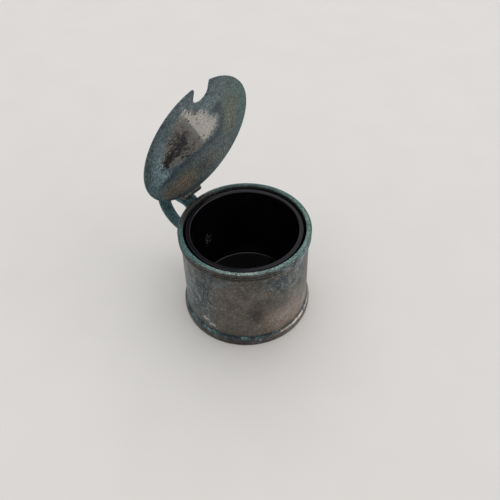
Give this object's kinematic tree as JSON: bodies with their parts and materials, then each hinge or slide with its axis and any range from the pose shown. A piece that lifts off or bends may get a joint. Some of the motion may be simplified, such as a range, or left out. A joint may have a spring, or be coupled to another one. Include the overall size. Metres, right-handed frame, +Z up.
{
  "type": "mustard pot",
  "caption": "Round plated mustard pot with a dark glass liner, a strap handle and a shallow lid with a spoon notch that swings on a hinge over the handle.",
  "frame": {"origin": "centre of the foot's underside, on the table", "axes": "+Z up along the drum's axis, -X towards the handle and the hinge, the hinge's axis along Y"},
  "size_m": [0.0859, 0.0618, 0.1117],
  "materials": {
    "worn_plate": "tarnished silver plate worn through to a copper alloy",
    "verdigris_plate": "worn plate with a turquoise verdigris crust",
    "lid_plate": "blue-grey tarnish with verdigris specks and a bright worn patch",
    "dark_glass": "near-black cobalt glass, glossy"
  },
  "bodies": {
    "pot": {"drum_wall": "worn_plate", "rim_moulding": "verdigris_plate", "foot_moulding": "worn_plate", "base_plate": "worn_plate", "strap_handle": "verdigris_plate", "hinge_bracket": "worn_plate", "hinge_pin": "worn_plate"},
    "lid": {"lid": "lid_plate", "lid_hinge_leaf": "worn_plate", "thumbpiece": "worn_plate"},
    "liner": {"glass_liner": "dark_glass"}
  },
  "joints": [
    {"name": "lid_hinge", "type": "hinge", "parent": "pot", "child": "lid", "pos_m": [-0.0332, 0, 0.05], "axis": [0, -1, 0], "range_deg": [-78, 40]},
    {"name": "liner_turn", "type": "hinge", "parent": "pot", "child": "liner", "pos_m": [0, 0, 0], "axis": [0, 0, 1], "continuous": true}
  ]
}
